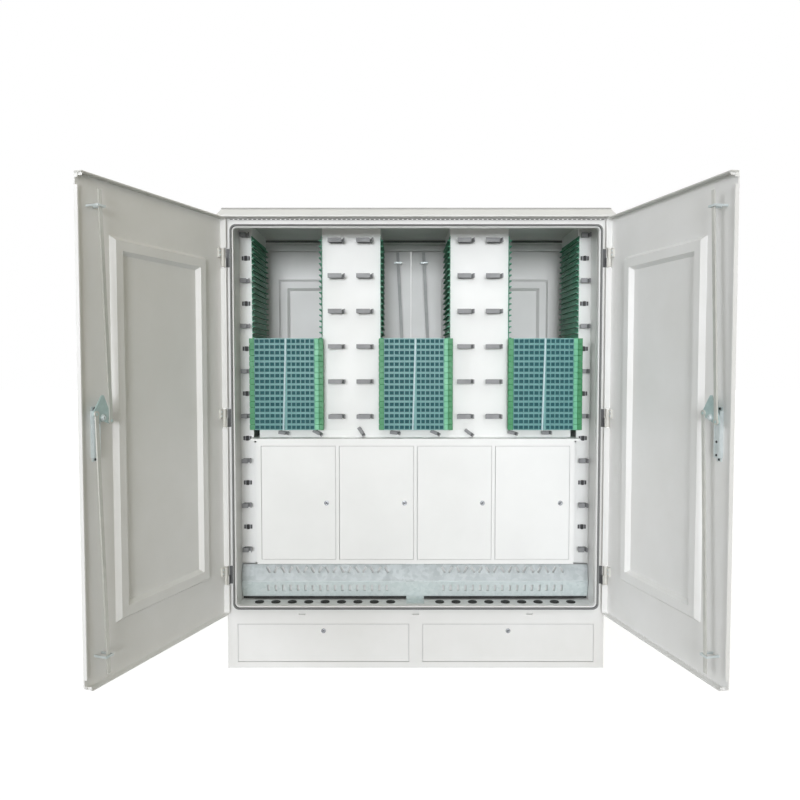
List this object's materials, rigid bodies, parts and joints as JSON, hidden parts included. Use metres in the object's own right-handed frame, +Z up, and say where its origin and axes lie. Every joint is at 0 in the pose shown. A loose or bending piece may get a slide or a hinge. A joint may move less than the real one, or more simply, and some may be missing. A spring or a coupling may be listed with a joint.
{
  "type": "roadside fibre cross-connect cabinet",
  "caption": "Outdoor moulded cabinet on a plinth with double doors front and rear, rod locks, fibre tray columns, splitter compartments and cable entry floor.",
  "frame": {"origin": "on the ground, in the middle of the four anchor holes of the plinth", "axes": "+Z up, the front with the open doors faces -Y, +X to the right of someone facing the front"},
  "size_m": [1.7768, 1.2487, 1.648],
  "materials": {
    "moulded_polyester": "satin moulded",
    "powder_coat": "satin",
    "seal_rubber": "matte",
    "zinc_steel": "zinc plated",
    "black_steel": "satin",
    "handle_alloy": "satin",
    "tray_plastic": "satin moulded",
    "rail_plastic": "satin moulded",
    "adapter_plastic": "gloss",
    "ring_plastic": "matte",
    "galvanised_sheet": "galvanised",
    "lock_chrome": "polished"
  },
  "bodies": {
    "cabinet": {"plinth_frame": "moulded_polyester", "floor_plate": "powder_coat", "cable_plugs": "seal_rubber", "left_side_panel": "moulded_polyester", "right_side_panel": "moulded_polyester", "roof_cap": "moulded_polyester", "front_frame": "moulded_polyester", "rear_frame": "moulded_polyester", "door_gaskets": "seal_rubber", "frame_hinges": "black_steel", "rack_channels": "powder_coat", "fibre_rings": "ring_plastic", "tray_rails": "rail_plastic", "splice_trays": "tray_plastic", "fibre_adapters": "adapter_plastic", "splitter_housing": "powder_coat", "cable_plates": "galvanised_sheet"},
    "front_left_door": {"front_left_door": "moulded_polyester", "front_left_door_hinges": "zinc_steel", "front_left_lock_case": "zinc_steel"},
    "front_left_cam": {"front_left_lock_cam": "zinc_steel", "front_left_handle": "handle_alloy"},
    "front_left_top_rod": {"front_left_top_rod": "zinc_steel"},
    "front_left_bottom_rod": {"front_left_bottom_rod": "zinc_steel"},
    "front_right_door": {"front_right_door": "moulded_polyester", "front_right_door_hinges": "zinc_steel", "front_right_lock_case": "zinc_steel"},
    "front_right_cam": {"front_right_lock_cam": "zinc_steel", "front_right_handle": "handle_alloy"},
    "front_right_top_rod": {"front_right_top_rod": "zinc_steel"},
    "front_right_bottom_rod": {"front_right_bottom_rod": "zinc_steel"},
    "rear_right_door": {"rear_right_door": "moulded_polyester", "rear_right_door_hinges": "zinc_steel", "rear_right_lock_case": "zinc_steel"},
    "rear_right_cam": {"rear_right_lock_cam": "zinc_steel", "rear_right_handle": "handle_alloy"},
    "rear_right_top_rod": {"rear_right_top_rod": "zinc_steel"},
    "rear_right_bottom_rod": {"rear_right_bottom_rod": "zinc_steel"},
    "rear_left_door": {"rear_left_door": "moulded_polyester", "rear_left_door_hinges": "zinc_steel", "rear_left_lock_case": "zinc_steel"},
    "rear_left_cam": {"rear_left_lock_cam": "zinc_steel", "rear_left_handle": "handle_alloy"},
    "rear_left_top_rod": {"rear_left_top_rod": "zinc_steel"},
    "rear_left_bottom_rod": {"rear_left_bottom_rod": "zinc_steel"},
    "splitter_door_1": {"splitter_door_1": "powder_coat"},
    "splitter_lock_1": {"splitter_lock_1": "lock_chrome"},
    "splitter_door_2": {"splitter_door_2": "powder_coat"},
    "splitter_lock_2": {"splitter_lock_2": "lock_chrome"},
    "splitter_door_3": {"splitter_door_3": "powder_coat"},
    "splitter_lock_3": {"splitter_lock_3": "lock_chrome"},
    "splitter_door_4": {"splitter_door_4": "powder_coat"},
    "splitter_lock_4": {"splitter_lock_4": "lock_chrome"},
    "plinth_panel_left": {"plinth_panel_left": "moulded_polyester"},
    "plinth_lock_left": {"plinth_lock_left": "lock_chrome"},
    "plinth_panel_right": {"plinth_panel_right": "moulded_polyester"},
    "plinth_lock_right": {"plinth_lock_right": "lock_chrome"},
    "left_tray": {"left_tray": "tray_plastic"},
    "centre_tray": {"centre_tray": "tray_plastic"},
    "right_tray": {"right_tray": "tray_plastic"}
  },
  "joints": [
    {"name": "front_left_door_hinge", "type": "hinge", "parent": "cabinet", "child": "front_left_door", "pos_m": [-0.68, -0.284, 0.909], "axis": [0, 0, -1], "range_deg": [-109.8, 10.2]},
    {"name": "front_left_lock_turn", "type": "hinge", "parent": "front_left_door", "child": "front_left_cam", "pos_m": [-0.87534, -0.88857, 0.954], "axis": [0.9409, -0.3387, 0], "range_deg": [0, 55]},
    {"name": "front_left_top_rod_pivot", "type": "hinge", "parent": "front_left_cam", "child": "front_left_top_rod", "pos_m": [-0.86109, -0.86374, 0.94374], "axis": [0.9409, -0.3387, 0], "range_deg": [-55, 0]},
    {"name": "front_left_bottom_rod_pivot", "type": "hinge", "parent": "front_left_cam", "child": "front_left_bottom_rod", "pos_m": [-0.88018, -0.91679, 0.96426], "axis": [0.9409, -0.3387, 0], "range_deg": [-55, 0]},
    {"name": "front_right_door_hinge", "type": "hinge", "parent": "cabinet", "child": "front_right_door", "pos_m": [0.68, -0.284, 0.909], "axis": [0, 0, 1], "range_deg": [-103.1, 16.9]},
    {"name": "front_right_lock_turn", "type": "hinge", "parent": "front_right_door", "child": "front_right_cam", "pos_m": [0.79894, -0.88775, 0.954], "axis": [-0.974, -0.2267, 0], "range_deg": [0, 55]},
    {"name": "front_right_top_rod_pivot", "type": "hinge", "parent": "front_right_cam", "child": "front_right_top_rod", "pos_m": [0.80046, -0.91635, 0.94374], "axis": [-0.974, -0.2267, 0], "range_deg": [-55, 0]},
    {"name": "front_right_bottom_rod_pivot", "type": "hinge", "parent": "front_right_cam", "child": "front_right_bottom_rod", "pos_m": [0.78768, -0.86143, 0.96426], "axis": [-0.974, -0.2267, 0], "range_deg": [-55, 0]},
    {"name": "rear_right_door_hinge", "type": "hinge", "parent": "cabinet", "child": "rear_right_door", "pos_m": [0.68, 0.284, 0.909], "axis": [0, 0, -1], "range_deg": [0, 120]},
    {"name": "rear_right_lock_turn", "type": "hinge", "parent": "rear_right_door", "child": "rear_right_cam", "pos_m": [0.045, 0.263, 0.954], "axis": [0, -1, 0], "range_deg": [0, 55]},
    {"name": "rear_right_top_rod_pivot", "type": "hinge", "parent": "rear_right_cam", "child": "rear_right_top_rod", "pos_m": [0.07319, 0.258, 0.94374], "axis": [0, -1, 0], "range_deg": [-55, 0]},
    {"name": "rear_right_bottom_rod_pivot", "type": "hinge", "parent": "rear_right_cam", "child": "rear_right_bottom_rod", "pos_m": [0.01681, 0.258, 0.96426], "axis": [0, -1, 0], "range_deg": [-55, 0]},
    {"name": "rear_left_door_hinge", "type": "hinge", "parent": "cabinet", "child": "rear_left_door", "pos_m": [-0.68, 0.284, 0.909], "axis": [0, 0, 1], "range_deg": [0, 120]},
    {"name": "rear_left_lock_turn", "type": "hinge", "parent": "rear_left_door", "child": "rear_left_cam", "pos_m": [-0.065, 0.263, 0.954], "axis": [0, -1, 0], "range_deg": [0, 55]},
    {"name": "rear_left_top_rod_pivot", "type": "hinge", "parent": "rear_left_cam", "child": "rear_left_top_rod", "pos_m": [-0.03681, 0.258, 0.94374], "axis": [0, -1, 0], "range_deg": [-55, 0]},
    {"name": "rear_left_bottom_rod_pivot", "type": "hinge", "parent": "rear_left_cam", "child": "rear_left_bottom_rod", "pos_m": [-0.09319, 0.258, 0.96426], "axis": [0, -1, 0], "range_deg": [-55, 0]},
    {"name": "splitter_door_1_hinge", "type": "hinge", "parent": "cabinet", "child": "splitter_door_1", "pos_m": [-0.5635, -0.186, 0.588], "axis": [0, 0, -1], "range_deg": [0, 100]},
    {"name": "splitter_lock_1_turn", "type": "hinge", "parent": "splitter_door_1", "child": "splitter_lock_1", "pos_m": [-0.3285, -0.18, 0.588], "axis": [0, 1, 0], "range_deg": [0, 90]},
    {"name": "splitter_door_2_hinge", "type": "hinge", "parent": "cabinet", "child": "splitter_door_2", "pos_m": [-0.2755, -0.186, 0.588], "axis": [0, 0, -1], "range_deg": [0, 100]},
    {"name": "splitter_lock_2_turn", "type": "hinge", "parent": "splitter_door_2", "child": "splitter_lock_2", "pos_m": [-0.0405, -0.18, 0.588], "axis": [0, 1, 0], "range_deg": [0, 90]},
    {"name": "splitter_door_3_hinge", "type": "hinge", "parent": "cabinet", "child": "splitter_door_3", "pos_m": [0.0125, -0.186, 0.588], "axis": [0, 0, -1], "range_deg": [0, 100]},
    {"name": "splitter_lock_3_turn", "type": "hinge", "parent": "splitter_door_3", "child": "splitter_lock_3", "pos_m": [0.2475, -0.18, 0.588], "axis": [0, 1, 0], "range_deg": [0, 90]},
    {"name": "splitter_door_4_hinge", "type": "hinge", "parent": "cabinet", "child": "splitter_door_4", "pos_m": [0.3005, -0.186, 0.588], "axis": [0, 0, -1], "range_deg": [0, 100]},
    {"name": "splitter_lock_4_turn", "type": "hinge", "parent": "splitter_door_4", "child": "splitter_lock_4", "pos_m": [0.5355, -0.18, 0.588], "axis": [0, 1, 0], "range_deg": [0, 90]},
    {"name": "plinth_panel_left_tilt", "type": "hinge", "parent": "cabinet", "child": "plinth_panel_left", "pos_m": [-0.334, -0.264, 0.031], "axis": [1, 0, 0], "range_deg": [0, 90]},
    {"name": "plinth_lock_left_turn", "type": "hinge", "parent": "plinth_panel_left", "child": "plinth_lock_left", "pos_m": [-0.334, -0.255, 0.137], "axis": [0, -1, 0], "range_deg": [0, 90]},
    {"name": "plinth_panel_right_tilt", "type": "hinge", "parent": "cabinet", "child": "plinth_panel_right", "pos_m": [0.334, -0.264, 0.031], "axis": [1, 0, 0], "range_deg": [0, 90]},
    {"name": "plinth_lock_right_turn", "type": "hinge", "parent": "plinth_panel_right", "child": "plinth_lock_right", "pos_m": [0.334, -0.255, 0.137], "axis": [0, -1, 0], "range_deg": [0, 90]},
    {"name": "left_tray_slide", "type": "slide", "parent": "cabinet", "child": "left_tray", "axis": [0, -1, 0], "range_m": [0, 0.2]},
    {"name": "centre_tray_slide", "type": "slide", "parent": "cabinet", "child": "centre_tray", "axis": [0, -1, 0], "range_m": [0, 0.2]},
    {"name": "right_tray_slide", "type": "slide", "parent": "cabinet", "child": "right_tray", "axis": [0, -1, 0], "range_m": [0, 0.2]}
  ],
  "couplings": [
    {"joint": "front_left_top_rod_pivot", "follows": "front_left_lock_turn", "ratio": -1},
    {"joint": "front_left_bottom_rod_pivot", "follows": "front_left_lock_turn", "ratio": -1},
    {"joint": "front_right_top_rod_pivot", "follows": "front_right_lock_turn", "ratio": -1},
    {"joint": "front_right_bottom_rod_pivot", "follows": "front_right_lock_turn", "ratio": -1},
    {"joint": "rear_right_top_rod_pivot", "follows": "rear_right_lock_turn", "ratio": -1},
    {"joint": "rear_right_bottom_rod_pivot", "follows": "rear_right_lock_turn", "ratio": -1},
    {"joint": "rear_left_top_rod_pivot", "follows": "rear_left_lock_turn", "ratio": -1},
    {"joint": "rear_left_bottom_rod_pivot", "follows": "rear_left_lock_turn", "ratio": -1}
  ]
}
